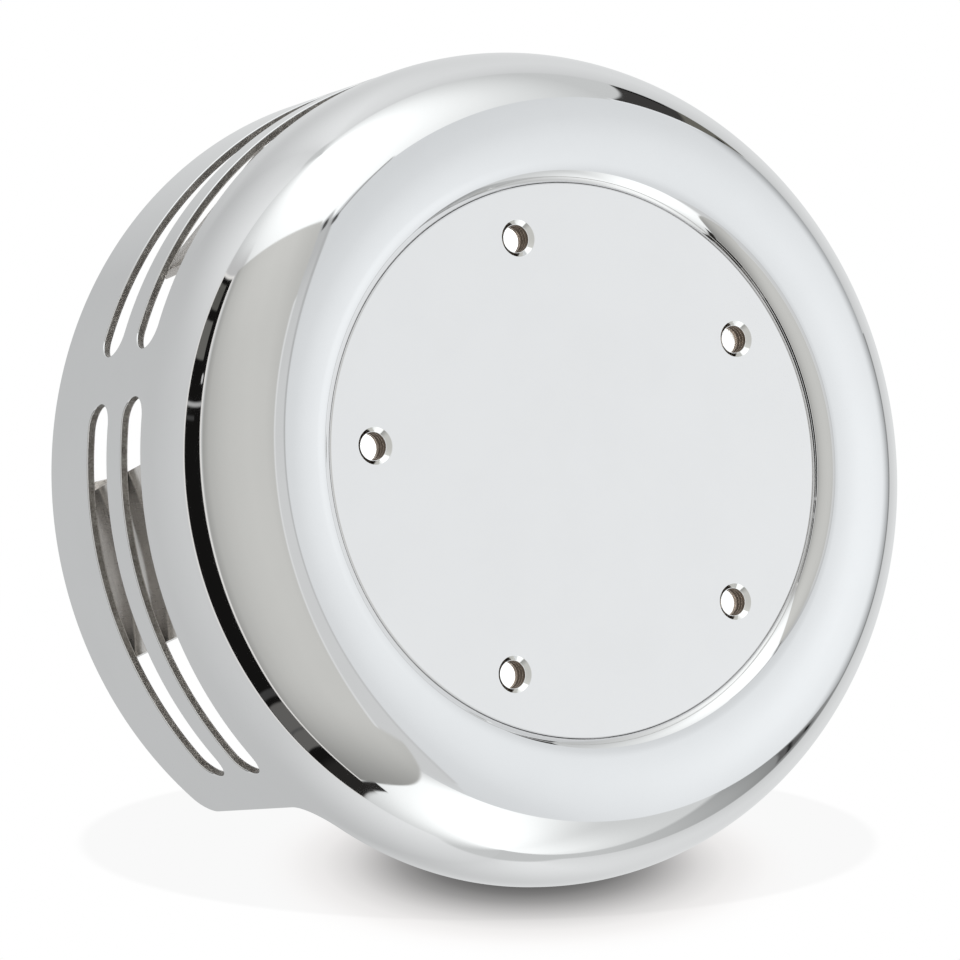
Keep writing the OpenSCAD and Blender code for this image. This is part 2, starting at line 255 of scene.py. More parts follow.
class Shader:
    """Short forms for building a node tree."""

    def __init__(self, tree):
        self.tree = tree
        tree.nodes.clear()

    def node(self, kind, settings=None, **inputs):
        made = self.tree.nodes.new(kind)
        for key, value in (settings or {}).items():
            setattr(made, key, value)
        for key, value in inputs.items():
            self.feed(made.inputs[key.replace("_", " ")], value)
        return made

    def feed(self, socket, value):
        if isinstance(value, bpy.types.NodeSocket):
            self.tree.links.new(value, socket)
        elif isinstance(value, (tuple, list)) and len(value) == 3 and len(socket.default_value) == 4:
            socket.default_value = (*value, 1)
        else:
            socket.default_value = value

    def math(self, operation, *values):
        made = self.node("ShaderNodeMath", {"operation": operation})
        for socket, value in zip(made.inputs, values):
            self.feed(socket, value)
        return made.outputs[0]

    def vector(self, operation, *values):
        made = self.node("ShaderNodeVectorMath", {"operation": operation})
        for socket, value in zip(made.inputs, values):
            self.feed(socket, value)
        name = "Value" if operation in ("DOT_PRODUCT", "LENGTH", "DISTANCE") else "Vector"
        return made.outputs[name]

    def length(self, x, y):
        return self.math("SQRT", self.math("MULTIPLY_ADD", x, x, self.math("MULTIPLY", y, y)))

    def scale(self, colour, factor):
        """Colour or vector times a number."""
        made = self.node("ShaderNodeVectorMath", {"operation": "SCALE"})
        self.feed(made.inputs[0], colour)
        self.feed(made.inputs["Scale"], factor)
        return made.outputs["Vector"]

    def smooth(self, value, low, high, bottom=0.0, top=1.0):
        """Smooth step of value from bottom at low to top at high."""
        made = self.node("ShaderNodeMapRange", {"interpolation_type": "SMOOTHSTEP"})
        for key, number in zip(("Value", "From Min", "From Max", "To Min", "To Max"),
                               (value, low, high, bottom, top)):
            self.feed(made.inputs[key], number)
        return made.outputs["Result"]

    def mix(self, factor, a, b, blend="MIX"):
        made = self.node("ShaderNodeMix", {"data_type": "RGBA", "blend_type": blend})
        self.feed(made.inputs["Factor"], factor)
        self.feed(made.inputs[6], a)
        self.feed(made.inputs[7], b)
        return made.outputs[2]

    def noise(self, place_, scale, detail=3.0, roughness=0.5):
        made = self.node("ShaderNodeTexNoise", Vector=place_, Scale=scale, Detail=detail,
                         Roughness=roughness)
        return made.outputs["Fac"]

    def ramp(self, value, stops):
        """Colour ramp; stops are (position, colour)."""
        made = self.node("ShaderNodeValToRGB", Fac=value)
        points = made.color_ramp.elements
        while len(points) < len(stops):
            points.new(0.5)
        for point, (position, colour) in zip(points, stops):
            point.position = position
            point.color = (*colour, 1)
        return made.outputs["Color"]


def tone(level, tint=(1.0, 1.0, 1.0)):
    """Linear colour of a display level from 0 to 255."""
    share = level / 255
    linear = share / 12.92 if share <= 0.04045 else ((share + 0.055) / 1.055) ** 2.4
    return tuple(linear * t for t in tint)


# ---------------------------------------------------------------- studio

WARM = (1.0, 1.0, 0.965)
COOL = (0.972, 1.0, 1.02)
MILKY = (0.985, 1.0, 1.005)
AIRY = (0.98, 1.0, 1.0)

# Share of light that one reflection on the plating keeps, and the room's light to match it
PLATING = 0.82
ROOM_LIGHT = 1.205

# Display levels across each part of the room, as (degrees, level)
ROOM_LEVELS = [(22, 262), (30, 257), (42, 248), (66, 226), (90, 206), (102, 197)]
LOW_CORNER_LEVELS = [(-72, 194), (-60, 181), (-50, 163), (-42, 135)]
PANEL_LEVELS = [(0, 244), (12, 241), (22, 235), (34, 228), (46, 218), (62, 212)]
SEAM_LEVELS = [(-42, 202), (-20, 203), (0, 204), (12, 202), (22, 197), (31, 184)]
SEAM_LINE_LEVELS = [(-40, 198), (-10, 190), (6, 178), (35, 176)]
IVORY_LEVELS = [(-79, 155), (-77, 162), (-72, 177), (-60, 187), (-48, 193), (-30, 197),
                (-14, 196), (-2, 187)]
WALL_LEVELS = [(-257, 203), (-248, 209), (-236, 214), (-215, 210), (-180, 186), (-150, 191),
               (-110, 200)]

# Upright cards: azimuth faced, left, right, low, high, then corner and softness
PANEL_CARD = (37, -14, 100.3, -52.5, 43.2, 0.02, 0.006)
IVORY_CARD = (-60, -79.5, 12, -57.5, 61.4, 0.02, 0.03)
IVORY_ROUNDING = (-60, -145, 0.0, -57.5, 85.0, 1.3, 0.03)

# Small dark patches: left, right, low, high, corner, softness, level
SEAM_CLIPS = ((1.0, 3.0, 37.8, 40.4, 0.8, 0.5, 70), (5.0, 7.0, 35.0, 37.4, 0.8, 0.5, 80))

# Gaps beyond the panel's upper and lower edge: elevations, azimuths and colour
PANEL_TOP_GAPS = (
    (-90, 36.3, 77, 102, tone(58, (1.0, 0.97, 0.95))),
    (-90, 27.5, 88, 102, tone(100, (1.0, 0.97, 0.84))),
    (29, 36.3, 99.5, 102, tone(12)),
    (21.6, 22.8, 94, 99, tone(15)),
)
PANEL_FOOT_GAPS = (
    (-42.3, -20, 80, 99, tone(92)),
    (-37.4, -36.4, 86, 99, tone(14)),
    (-40.6, -39.8, 88, 99, tone(30)),
)

# Blocks of the dark strip: elevations, insets from its left and right edge, colour, softness
STRIP_BORDER = (-60.8, 59.0, -1.6, -1.8, tone(222, (1.0, 0.985, 0.96)), 0.35)
STRIP_BLOCKS = (
    (-60.6, 58.2, 0, 0, tone(19, (1.0, 0.96, 0.93)), 0.35),
    (-60.6, -50.5, 0, 0, tone(38, (1.0, 0.95, 0.90)), 1.5),
    (-46.2, -34.2, 0.8, 0.0, tone(93, (1.0, 0.98, 0.94)), 0.35),
    (-41.5, -40.9, 0.8, 0.0, tone(74), 0.35),
    (-32.6, -30.8, 0, 0, tone(58), 0.35),
    (40.6, 48.8, 0.4, 6.2, tone(97, (1.0, 0.99, 0.92)), 0.35),
    (51.2, 56.8, 0.4, 6.0, tone(85, (1.0, 0.99, 0.90)), 0.35),
    (30.8, 31.7, 0.0, 0.0, tone(165), 0.35),
    (28.0, 28.9, 0.6, 8.0, tone(60), 0.35),
)


class Studio(Shader):
    """World shader with flat light cards round the object, drawn over a dark room."""

    def __init__(self):
        world = bpy.data.worlds.new("studio")
        world.use_nodes = True
        bpy.context.scene.world = world
        super().__init__(world.node_tree)
        self.way = self.node("ShaderNodeTexCoord").outputs["Generated"]
        x, y, z = self.node("ShaderNodeSeparateXYZ", Vector=self.way).outputs
        around = self.math("ARCTAN2", x, self.math("MULTIPLY", y, -1.0))
        self.azimuth = self.math("DEGREES", around)
        self.elevation = self.math("DEGREES", self.math("ARCSINE", z))
        self.colour = None

    def blend(self, mask, colour):
        self.colour = self.mix(mask, self.colour, colour)

    def box(self, x, y, left, right, low, high, corner, soft):
        """Mask of a rounded box in the plane of x and y."""
        dx = self.math("ABSOLUTE", self.math("SUBTRACT", x, (left + right) / 2))
        dy = self.math("ABSOLUTE", self.math("SUBTRACT", y, (low + high) / 2))
        qx = self.math("SUBTRACT", dx, (right - left) / 2 - corner)
        qy = self.math("SUBTRACT", dy, (high - low) / 2 - corner)
        ox, oy = self.math("MAXIMUM", qx, 0.0), self.math("MAXIMUM", qy, 0.0)
        inside = self.math("MINIMUM", self.math("MAXIMUM", qx, qy), 0.0)
        distance = self.math("SUBTRACT", self.math("ADD", self.length(ox, oy), inside), corner)
        return self.smooth(distance, soft, -soft)

    def card(self, facing, left, right, low, high, corner=0.02, soft=0.01):
        """Mask of a flat upright card: facing, left and right are azimuths, low and high are
        elevations at the facing azimuth, corner and soft are shares of the card's distance."""
        a, nearest = math.radians(facing), 0.01
        depth = self.vector("DOT_PRODUCT", self.way, (math.sin(a), -math.cos(a), 0))
        side = self.vector("DOT_PRODUCT", self.way, (math.cos(a), math.sin(a), 0))
        up = self.vector("DOT_PRODUCT", self.way, (0, 0, 1))
        ahead = self.math("GREATER_THAN", depth, nearest)
        safe = self.math("MAXIMUM", depth, nearest)
        u, v = self.math("DIVIDE", side, safe), self.math("DIVIDE", up, safe)
        edges = [math.tan(math.radians(k)) for k in (left - facing, right - facing, low, high)]
        return self.math("MULTIPLY", ahead, self.box(u, v, *edges, corner, soft))

    def patch(self, left, right, low, high, corner=3.0, soft=1.0):
        """Mask of a rounded patch in azimuth and elevation, in degrees."""
        return self.box(self.azimuth, self.elevation, left, right, low, high, corner, soft)


def lit(s, value, stops, tint):
    """Level of value between stops of (value, display level), as a colour of one tint."""
    low, high = stops[0][0], stops[-1][0]
    share = s.node("ShaderNodeMapRange", Value=value, From_Min=low, From_Max=high).outputs[0]
    return s.ramp(share, [((v - low) / (high - low), tone(level, tint)) for v, level in stops])


def room(s):
    """White ahead of the object, above and below, and greyer towards its sides."""
    azimuth, elevation = s.azimuth, s.elevation
    side = s.math("ABSOLUTE", s.math("SUBTRACT", azimuth, 6.0))
    rise = s.math("SUBTRACT", s.math("ABSOLUTE", s.math("SUBTRACT", elevation, 1.5)), 54.5)
    far = s.math("SUBTRACT", side, s.math("MULTIPLY", rise, 1.75))
    s.colour = lit(s, far, ROOM_LEVELS, AIRY)
    low_right = s.math("MULTIPLY", s.smooth(azimuth, 6.0, 36.0), s.smooth(elevation, -95.0, -52.0))
    s.blend(s.math("MULTIPLY", low_right, s.math("LESS_THAN", elevation, 0.0)), tone(206, AIRY))
    lean = s.math("MULTIPLY_ADD", elevation, 0.9, azimuth)
    corner = s.math("MULTIPLY", s.smooth(lean, 19.0, 25.0), s.math("LESS_THAN", elevation, 0.0))
    s.blend(corner, lit(s, elevation, LOW_CORNER_LEVELS, AIRY))
    s.blend(s.patch(-103, -72, 55, 63.5, 2.0, 4.0), tone(186))


def cool_panel(s):
    """Large bright card on the right, brightest a little below its middle."""
    azimuth, elevation = s.azimuth, s.elevation
    off = s.math("SUBTRACT", azimuth, 52.0)
    wide = s.math("MAXIMUM", s.math("MULTIPLY", off, -1.05), s.math("MULTIPLY", off, 0.6))
    tall = s.math("ADD", elevation, 18.0)
    level = lit(s, s.length(wide, tall), PANEL_LEVELS, COOL)
    fade = s.smooth(azimuth, 84.0, 105.0, 1.0, 0.4)
    s.blend(s.card(*PANEL_CARD), s.scale(level, fade))
    above = s.math("MULTIPLY_ADD", azimuth, 0.70, s.math("SUBTRACT", elevation, 90.0))
    below = s.math("MULTIPLY_ADD", azimuth, -0.5, s.math("ADD", elevation, 84.5))
    s.blend(s.box(above, azimuth, -1.1, 0.4, 76, 92, 0.3, 0.4), tone(232, COOL))
    for gaps, beyond in ((PANEL_TOP_GAPS, s.smooth(above, -0.2, 0.2)),
                         (PANEL_FOOT_GAPS, s.smooth(below, 0.5, -0.5))):
        for *limits, colour in gaps:
            wedge = s.box(elevation, azimuth, *limits, 0.2, 0.4)
            s.blend(s.math("MULTIPLY", wedge, beyond), colour)
    slope = s.math("SUBTRACT", elevation, s.math("MULTIPLY_ADD", azimuth, 0.42, 33.9))
    s.blend(s.box(slope, azimuth, -0.5, 0.5, 4.0, 21.0, 0.4, 0.5), tone(150))


def middle_seam(s):
    """Light grey gap between the two cards, with a thin darker line on its right."""
    azimuth, elevation = s.azimuth, s.elevation
    bend = s.math("MULTIPLY", s.math("MAXIMUM", s.math("SUBTRACT", 5.0, elevation), 0.0), 0.1)
    bent = s.math("SUBTRACT", s.math("ADD", azimuth, bend), 4.6)
    gap = s.box(bent, elevation, -22, 0, -60, 41.5, 0.8, 0.8)
    ends = s.smooth(elevation, -49.0, -38.0)
    s.blend(s.math("MULTIPLY", gap, ends), lit(s, elevation, SEAM_LEVELS, MILKY))
    thin = s.box(bent, elevation, -0.75, 0.75, -40, 38, 0.6, 0.5)
    s.blend(thin, lit(s, elevation, SEAM_LINE_LEVELS, MILKY))
    for *limits, level in SEAM_CLIPS:
        s.blend(s.patch(*limits), tone(level))


def warm_card(s):
    """Ivory card on the left, with a bright edge line on its right."""
    azimuth, elevation = s.azimuth, s.elevation
    fade = s.math("MULTIPLY", s.smooth(elevation, -64.0, -26.0, 0.48, 1.0),
                  s.smooth(elevation, 30.0, 55.0, 1.0, 1.06))
    slant = s.math("SUBTRACT", azimuth, s.math("MULTIPLY", elevation, 0.19))
    body = s.math("MULTIPLY", s.card(*IVORY_CARD), s.card(*IVORY_ROUNDING))
    cut_off = s.math("MAXIMUM", s.smooth(slant, -5.9, -6.6), s.smooth(elevation, -28.5, -31.0))
    body = s.math("MULTIPLY", body, cut_off)
    s.blend(body, s.scale(lit(s, azimuth, IVORY_LEVELS, WARM), fade))
    s.blend(s.box(slant, elevation, -7.1, -5.6, -30, 25, 0.6, 0.5), tone(216, MILKY))


def dark_strip(s):
    """Narrow dark door frame beyond the ivory card, in blocks, with pale borders."""
    azimuth, elevation = s.azimuth, s.elevation
    left = s.math("MULTIPLY_ADD", elevation, 0.022, azimuth)
    right = s.math("ADD", azimuth, s.math("MULTIPLY", s.smooth(elevation, -30.0, -60.0), -5.5))
    right = s.math("MULTIPLY_ADD", elevation, 0.035, right)

    def block(low, high, start, end, colour, soft):
        share = s.math("MULTIPLY", s.smooth(left, -101.2 + start, -100.8 + start),
                       s.smooth(right, -81.3 - end, -81.8 - end))
        band = s.box(elevation, azimuth, low, high, -130, -40, 0.1, soft)
        s.blend(s.math("MULTIPLY", share, band), colour)

    block(*STRIP_BORDER)
    s.blend(s.patch(-99, -59, -60.6, -57.2, 0.5, 0.4), tone(41, (1.0, 0.95, 0.90)))
    for part in STRIP_BLOCKS:
        block(*part)
    s.blend(s.patch(-86.8, -84.6, 35.6, 37.6, 0.7, 0.4), tone(190))


def back_walls(s):
    """Grey walls behind the camera, seen in the ends of the skirt."""
    azimuth, elevation = s.azimuth, s.elevation
    back = s.math("SUBTRACT", azimuth, s.math("MULTIPLY", s.math("GREATER_THAN", azimuth, 0), 360))
    bend = s.math("MULTIPLY", elevation, 0.035)
    turned = s.math("ADD", back, s.math("MULTIPLY", s.math("GREATER_THAN", back, -180), bend))
    glow = s.smooth(s.math("ABSOLUTE", elevation), 34.0, 76.0, 0.0, 1.0)
    glow = s.math("MULTIPLY_ADD", glow, s.smooth(back, -240.0, -190.0, 0.05, 0.34), 1.0)
    walls = s.box(turned, elevation, -257.0, -102.0, -77, 84, 20.0, 1.2)
    s.blend(walls, s.scale(lit(s, back, WALL_LEVELS, MILKY), glow))


def studio_world():
    s = Studio()
    for part in (room, cool_panel, middle_seam, warm_card, back_walls, dark_strip):
        part(s)

    # the camera sees plain white behind the object
    path = s.node("ShaderNodeLightPath")
    lit_room = s.scale(s.colour, ROOM_LIGHT)
    shown = s.mix(path.outputs["Is Camera Ray"], lit_room, (1.0, 1.0, 1.0))
    light = s.node("ShaderNodeBackground", Color=shown, Strength=1.0)
    s.node("ShaderNodeOutputWorld", Surface=light.outputs[0])


# View of the camera: direction from the object, distance in cover radii, roll, the point it
# looks at, its lens and sensor in mm, and the angle at which it looks down on the floor
VIEW_AZIMUTH = -29.21
VIEW_ELEVATION = 2.98
VIEW_DISTANCE = 11.52
VIEW_ROLL = 15.28
VIEW_TARGET = Vector((-4.7, -40.0, -0.3)) * MM
LENS = 178.5
SENSOR = 36
FLOOR_PITCH = 7.0

# Floor in metres: its radius and sides, the painted contact shadow's middle and half size across and
# away from the camera, and the middle and radius of the faint painted shadow pool round it
FLOOR_R = 0.6
FLOOR_SIDES = 48
SHADOW_PLACE = (0.0267, -0.031)
SHADOW_HALF = (0.0505, 0.082)
SHADOW_POOL_PLACE = (0.015, 0.0)
SHADOW_POOL_R = 0.1035

# Display levels of the painted contact shadow, as (share of its half size, level), and of the painted
# shadow pool
SHADOW_LEVELS = [(0.0, 96), (0.40, 104), (0.50, 126), (0.62, 159), (0.74, 194), (0.86, 222),
                 (1.0, 241), (1.2, 251), (1.45, 255)]
SHADOW_POOL_LEVEL = 249

# Power in watts of the lamp behind the face plate, and its gap to the plate in mm
LAMP_POWER = 0.06
LAMP_GAP = 2.0


def camera_axes():
    """Right, up and backward axes of the camera."""
    a, e = math.radians(VIEW_AZIMUTH), math.radians(VIEW_ELEVATION)
    back = Vector((math.sin(a) * math.cos(e), -math.cos(a) * math.cos(e), math.sin(e)))
    level_right = Vector((0, 0, 1)).cross(back).normalized()
    level_up = back.cross(level_right)
    roll = math.radians(VIEW_ROLL)
    right = level_right * math.cos(roll) - level_up * math.sin(roll)
    up = level_up * math.cos(roll) + level_right * math.sin(roll)
    return right, up, back


def add_camera():
    right, up, back = camera_axes()
    data = bpy.data.cameras.new("camera")
    data.lens = LENS
    data.sensor_width = SENSOR
    camera = bpy.data.objects.new("camera", data)
    bpy.context.scene.collection.objects.link(camera)
    place_ = VIEW_TARGET + back * VIEW_DISTANCE * COVER_R * MM
    turn = Matrix((right, up, back)).transposed().to_4x4()
    camera.matrix_world = Matrix.Translation(place_) @ turn
    bpy.context.scene.camera = camera


def floor_normal():
    _, up, back = camera_axes()
    pitch = math.radians(FLOOR_PITCH)
    return (up * math.cos(pitch) + back * math.sin(pitch)).normalized()


def add_floor(normal, level):
    """White disc under the cover, seen only from above, with a painted soft contact shadow and a faint
    painted shadow pool round it.
    """
    _, _, back = camera_axes()
    deep = -(back - normal * back.dot(normal)).normalized()
    side = deep.cross(normal)
    centre = normal * level
    turn = [math.tau * k / FLOOR_SIDES for k in range(FLOOR_SIDES)]
    rim = [centre + (side * math.cos(a) + deep * math.sin(a)) * FLOOR_R for a in turn]
    mesh = bpy.data.meshes.new("floor")
    mesh.from_pydata(rim, [], [range(FLOOR_SIDES)])
    floor = bpy.data.objects.new("floor", mesh)
    bpy.context.scene.collection.objects.link(floor)
    material, s = material_shader("floor_white_painted_shadow")
    where = s.node("ShaderNodeTexCoord").outputs["Object"]
    across = s.math("SUBTRACT", s.vector("DOT_PRODUCT", where, tuple(side)), SHADOW_PLACE[0])
    away = s.math("SUBTRACT", s.vector("DOT_PRODUCT", where, tuple(deep)), SHADOW_PLACE[1])
    across, away = s.math("DIVIDE", across, SHADOW_HALF[0]), s.math("DIVIDE", away, SHADOW_HALF[1])
    far = s.length(across, away)
    # Painted contact shadow, multiplied with a faint painted shadow pool into the floor's white
    shade = lit(s, far, SHADOW_LEVELS, (1.0, 0.985, 0.98))
    contact = s.mix(s.smooth(far, 1.0, 1.4), shade, (1.0, 1.0, 1.0))
    shadow_pool_centre = centre + side * SHADOW_POOL_PLACE[0] + deep * SHADOW_POOL_PLACE[1]
    out = s.vector("DISTANCE", where, tuple(shadow_pool_centre))
    shadow_pool = s.mix(s.smooth(out, SHADOW_POOL_R, SHADOW_POOL_R * 0.96), (1.0, 1.0, 1.0), tone(SHADOW_POOL_LEVEL))
    white = s.node("ShaderNodeEmission", Color=s.mix(1.0, contact, shadow_pool, "MULTIPLY"))
    front = s.math("SUBTRACT", 1.0, s.node("ShaderNodeNewGeometry").outputs["Backfacing"])
    distance = s.vector("DISTANCE", where, tuple(centre))
    seen = s.smooth(distance, FLOOR_R * 0.98, FLOOR_R * 0.9)
    clear = s.node("ShaderNodeBsdfTransparent")
    both = s.node("ShaderNodeMixShader", Fac=s.math("MULTIPLY", seen, front))
    s.tree.links.new(clear.outputs[0], both.inputs[1])
    s.tree.links.new(white.outputs[0], both.inputs[2])
    s.node("ShaderNodeOutputMaterial", Surface=both.outputs[0])
    mesh.materials.append(material)
    for seen_by in ("glossy", "diffuse", "transmission", "shadow"):
        setattr(floor, "visible_" + seen_by, False)


def add_lamp():
    """Weak lamp behind the face plate, so that its holes show a bright inside."""
    data = bpy.data.lights.new("inside", "AREA")
    data.shape = "DISK"
    data.size = 2 * FACE_R * MM
    data.energy = LAMP_POWER
    lamp = bpy.data.objects.new("inside", data)
    bpy.context.scene.collection.objects.link(lamp)
    place_ = Matrix.Translation((0, -(FACE_BACK - LAMP_GAP) * MM, 0))
    lamp.matrix_world = place_ @ Matrix.Rotation(math.radians(90), 4, "X")
    lamp.visible_glossy = False
    lamp.visible_camera = False


# ---------------------------------------------------------------- materials

def material_shader(name):
    material = bpy.data.materials.new(name)
    material.use_nodes = True
    return material, Shader(material.node_tree)


def finish_material(s, **inputs):
    """Principled surface with these inputs."""
    surface = s.node("ShaderNodeBsdfPrincipled")
    for key, value in inputs.items():
        s.feed(surface.inputs[key.replace("_", " ")], value)
    s.node("ShaderNodeOutputMaterial", Surface=surface.outputs[0])
    return surface


def bump(s, height, strength, distance):
    made = s.node("ShaderNodeBump", Height=height, Strength=strength, Distance=distance)
    return made.outputs["Normal"]


def chrome(name, tint, base_roughness=0.025, ripple=0.00002):
    """Polished plating: faint ripple, fine hairlines and slightly uneven gloss."""
    material, s = material_shader(name)
    where = s.node("ShaderNodeTexCoord").outputs["Object"]
    ripple_height = s.noise(where, 28.0, 2.0)
    haze = s.noise(where, 260.0, 4.0, 0.6)
    roughness = s.smooth(haze, 0.35, 0.8, base_roughness, base_roughness + 0.03)
    dull = s.smooth(s.noise(where, 45.0, 5.0, 0.65), 0.35, 0.75, 1.0, 0.985)
    finish_material(s, Base_Color=s.scale(tint, dull), Metallic=1.0, Roughness=roughness,
                    Normal=bump(s, ripple_height, 1.0, ripple))
    return material


def cut_edge():
    """Plating over a rough cut: dark, warm and grainy."""
    material, s = material_shader("cut_edge")
    where = s.node("ShaderNodeTexCoord").outputs["Object"]
    grain = s.noise(where, 2200.0, 4.0, 0.7)
    patch = s.noise(where, 300.0, 3.0, 0.6)
    both = s.math("ADD", s.math("MULTIPLY", grain, 0.6), s.math("MULTIPLY", patch, 0.4))
    colour = s.ramp(both, [(0.35, tone(104, (1.0, 0.92, 0.83))), (0.5, tone(146, (1.0, 0.94, 0.87))),
                           (0.66, tone(196, (1.0, 0.97, 0.92)))])
    finish_material(s, Base_Color=colour, Metallic=0.45, Roughness=0.38,
                    Normal=bump(s, both, 0.5, 0.0001))
    return material


def brushed(name, colour, roughness=0.3, metallic=1.0, stretch=(1, 1, 12), scale=300.0, grit=0.00004):
    """Satin metal with short grain lines."""
    material, s = material_shader(name)
    where = s.node("ShaderNodeTexCoord").outputs["Object"]
    along = s.vector("MULTIPLY", where, stretch)
    grain = s.noise(along, scale, 4.0, 0.6)
    cloud = s.noise(where, 40.0, 4.0, 0.6)
    light = s.smooth(grain, 0.2, 0.8, 0.82, 1.08)
    stain = s.smooth(cloud, 0.3, 0.75, 1.04, 0.86)
    rough = s.smooth(grain, 0.2, 0.8, roughness - 0.07, roughness + 0.09)
    shade = s.scale(colour, s.math("MULTIPLY", light, stain))
    finish_material(s, Base_Color=shade, Metallic=metallic, Roughness=rough,
                    Normal=bump(s, grain, 0.6, grit))
    return material


def matt(name, colour, roughness=0.6, scale=500.0, grit=0.00008, spread=0.25):
    """Rubber, paper, moulded plastic or cast skin: mottled colour and fine grain."""
    material, s = material_shader(name)
    where = s.node("ShaderNodeTexCoord").outputs["Object"]
    grain = s.noise(where, scale, 5.0, 0.65)
    cloud = s.noise(where, 35.0, 4.0, 0.6)
    shade = s.math("MULTIPLY", s.smooth(grain, 0.25, 0.75, 1 - spread / 2, 1 + spread / 2),
                   s.smooth(cloud, 0.3, 0.7, 1 - spread / 3, 1 + spread / 3))
    rough = s.smooth(grain, 0.2, 0.8, roughness - 0.08, roughness + 0.1)
    finish_material(s, Base_Color=s.scale(colour, shade), Roughness=rough,
                    Normal=bump(s, grain, 0.7, grit))
    return material


def gauze():
    """Oiled red cotton gauze: crossing threads along the height and across each pleat."""
    material, s = material_shader("filter_gauze")
    where = s.node("ShaderNodeTexCoord").outputs["Object"]
    x, y, z = s.node("ShaderNodeSeparateXYZ", Vector=where).outputs
    out = s.length(x, z)
    warp = s.math("SINE", s.math("MULTIPLY", y, 2 * math.pi / 0.0011))
    weft = s.math("SINE", s.math("MULTIPLY", out, 2 * math.pi / 0.0011))
    weave = s.math("MULTIPLY_ADD", warp, 0.5, s.math("MULTIPLY", weft, 0.5))
    fluff = s.noise(where, 900.0, 4.0, 0.7)
    height = s.math("MULTIPLY_ADD", fluff, 0.6, weave)
    stain = s.noise(where, 60.0, 4.0, 0.6)
    # Colour follows the thread height: the weave's hollows are painted darker, which is painted shade;
    # the fluff in the height adds random tone
    colour = s.ramp(s.smooth(height, -0.9, 1.3), [
        (0.0, (0.16, 0.012, 0.012)), (0.5, (0.42, 0.05, 0.045)), (1.0, (0.62, 0.12, 0.10))])
    shade = s.smooth(stain, 0.3, 0.75, 1.1, 0.75)
    finish_material(s, Base_Color=s.scale(colour, shade), Roughness=0.78,
                    Normal=bump(s, height, 0.6, 0.0002))
    return material


# ---------------------------------------------------------------- cover skirt

ROUND = np.arange(FULL_TURN) - 90.0
ARC_MM = math.radians(1) * COVER_R
SEAM = -90.0


def path_arc(centre, radius, start, end, steps, inward):
    """Points and void-side normals along an arc of the developed skirt."""
    a = np.radians(np.linspace(start, end, steps + 1))
    unit = np.stack([np.cos(a), np.sin(a)], axis=-1)
    return np.hstack([np.array(centre) + radius * unit, -unit if inward else unit])


def path_line(start, end, normal):
    """Points about one degree apart along a straight stretch of the developed skirt."""
    steps = max(1, round(math.dist(start, end) / ARC_MM))
    return line(start, end, normal, steps)


def slot_loop(middle, height):
    """Closed outline of a slot in the developed skirt: length round the skirt, height, normal."""
    half = SLOT_SPAN / 2 * ARC_MM - SLOT_R
    left, right = middle * ARC_MM - half, middle * ARC_MM + half
    loop = [
        path_line((left, height - SLOT_R), (right, height - SLOT_R), (0, 1)),
        path_arc((right, height), SLOT_R, -90, 90, 20, True),
        path_line((right, height + SLOT_R), (left, height + SLOT_R), (0, -1)),
        path_arc((left, height), SLOT_R, 90, 270, 20, True),
    ]
    return np.concatenate([part[:-1] for part in loop])


def rim_path():
    """Rear outline of the developed skirt, from the seam round to the seam."""
    edge = (SEAM + CUTAWAY_HALF) * ARC_MM
    fillet, corner, top = CUTAWAY_FILLET, CUTAWAY_CORNER, CUTAWAY_DEPTH
    half = [
        path_line((SEAM * ARC_MM, top), (edge - fillet, top), (0, -1)),
        path_arc((edge - fillet, top - fillet), fillet, 90, 0, 12, True),
        path_line((edge, top - fillet), (edge, corner), (-1, 0)),
        path_arc((edge + corner, corner), corner, 180, 270, 10, False),
        path_line((edge + corner, 0), (90 * ARC_MM, 0), (0, -1)),
    ]
    path = np.concatenate([part[:-1] for part in half])
    mirrored = path[::-1] * [-1, 1, -1, 1] + [180 * ARC_MM, 0, 0, 0]
    return np.concatenate([path, half[-1][-1:], mirrored])


SLOTS = [
    ((90 + (k - 1.5) * SLOT_PITCH), height) for k in range(4) for height in SLOT_ROWS
]


def metal_depth(u, h):
    """Distance from a point of the developed skirt to the nearest cut edge, about right."""
    depth = np.minimum(h, 1e3)
    for middle, height in SLOTS:
        half = SLOT_SPAN / 2 * ARC_MM - SLOT_R
        du = np.maximum(np.abs(u - middle * ARC_MM) - half, 0)
        depth = np.minimum(depth, np.hypot(du, h - height) - SLOT_R)
    from_seam = 180 * ARC_MM - np.abs(u - 90 * ARC_MM)
    edge = CUTAWAY_HALF * ARC_MM
    qx, qy = from_seam - edge + CUTAWAY_FILLET, h - CUTAWAY_DEPTH + CUTAWAY_FILLET
    void = np.hypot(np.maximum(qx, 0), np.maximum(qy, 0)) + np.minimum(np.maximum(qx, qy), 0)
    depth = np.minimum(depth, void - CUTAWAY_FILLET)
    cx, cy = CUTAWAY_CORNER - (from_seam - edge), CUTAWAY_CORNER - h
    in_corner = (cx > 0) & (cy > 0)
    return np.where(in_corner, np.minimum(depth, CUTAWAY_CORNER - np.hypot(cx, cy)), depth)


def inset(path, distance):
    """The path moved into the metal."""
    return path[:, :2] - distance * path[:, 2:]


def skirt_sheet(paths, top_row):
    """Triangles that fill the developed skirt between the inset outlines."""
    rim, slots = paths[0], paths[1:]
    loops = [np.concatenate([inset(rim, EDGE), top_row[::-1]])]
    loops += [inset(slot, EDGE) for slot in slots]
    u, h = np.meshgrid(np.arange(SEAM + 1, SEAM + FULL_TURN) * ARC_MM,
                       np.arange(2.5, SKIRT_TOP - 1, SKIRT_GRID))
    inner = np.stack([u.ravel(), h.ravel()], axis=-1)
    inner = inner[metal_depth(*inner.T) > EDGE + 0.8]
    return filled(loops, inner,
                  lambda middles: (metal_depth(*middles.T) > EDGE * 0.9) & (middles[:, 1] < SKIRT_TOP))


